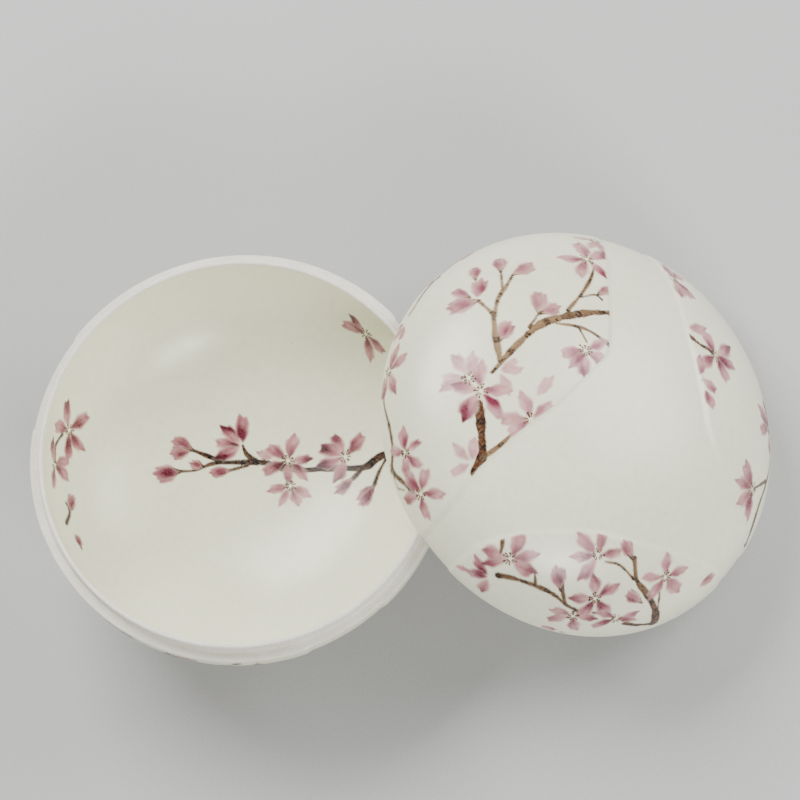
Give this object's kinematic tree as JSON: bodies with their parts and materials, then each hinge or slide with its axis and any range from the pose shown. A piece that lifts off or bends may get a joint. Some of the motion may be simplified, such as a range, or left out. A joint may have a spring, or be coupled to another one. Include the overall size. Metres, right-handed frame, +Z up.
{
  "type": "covered rice bowl",
  "caption": "Round foot-ringed porcelain rice bowl with a stepped lip, and a domed socketed lid leaning against its rim, painted with blossom sprays.",
  "frame": {"origin": "centre of the bowl's foot ring, on the face it stands on", "axes": "+Z up along the bowl's axis, +X from the bowl towards the leaning lid"},
  "size_m": [0.2471, 0.14, 0.0788],
  "materials": {
    "glazed_porcelain": "satin ivory-white glaze over porcelain",
    "bare_porcelain": "wiped, unglazed fired porcelain on the lip, ledge and foot",
    "blossom_enamel": "translucent rose overglaze enamel, brushed",
    "branch_enamel": "brown overglaze enamel, brushed"
  },
  "bodies": {
    "bowl": {"bowl": "glazed_porcelain"},
    "lid": {"lid": "glazed_porcelain"}
  },
  "joints": [
    {"name": "lid_lift", "type": "slide", "parent": "bowl", "child": "lid", "axis": [0, 0, 1], "range_m": [0, 0.1]}
  ]
}
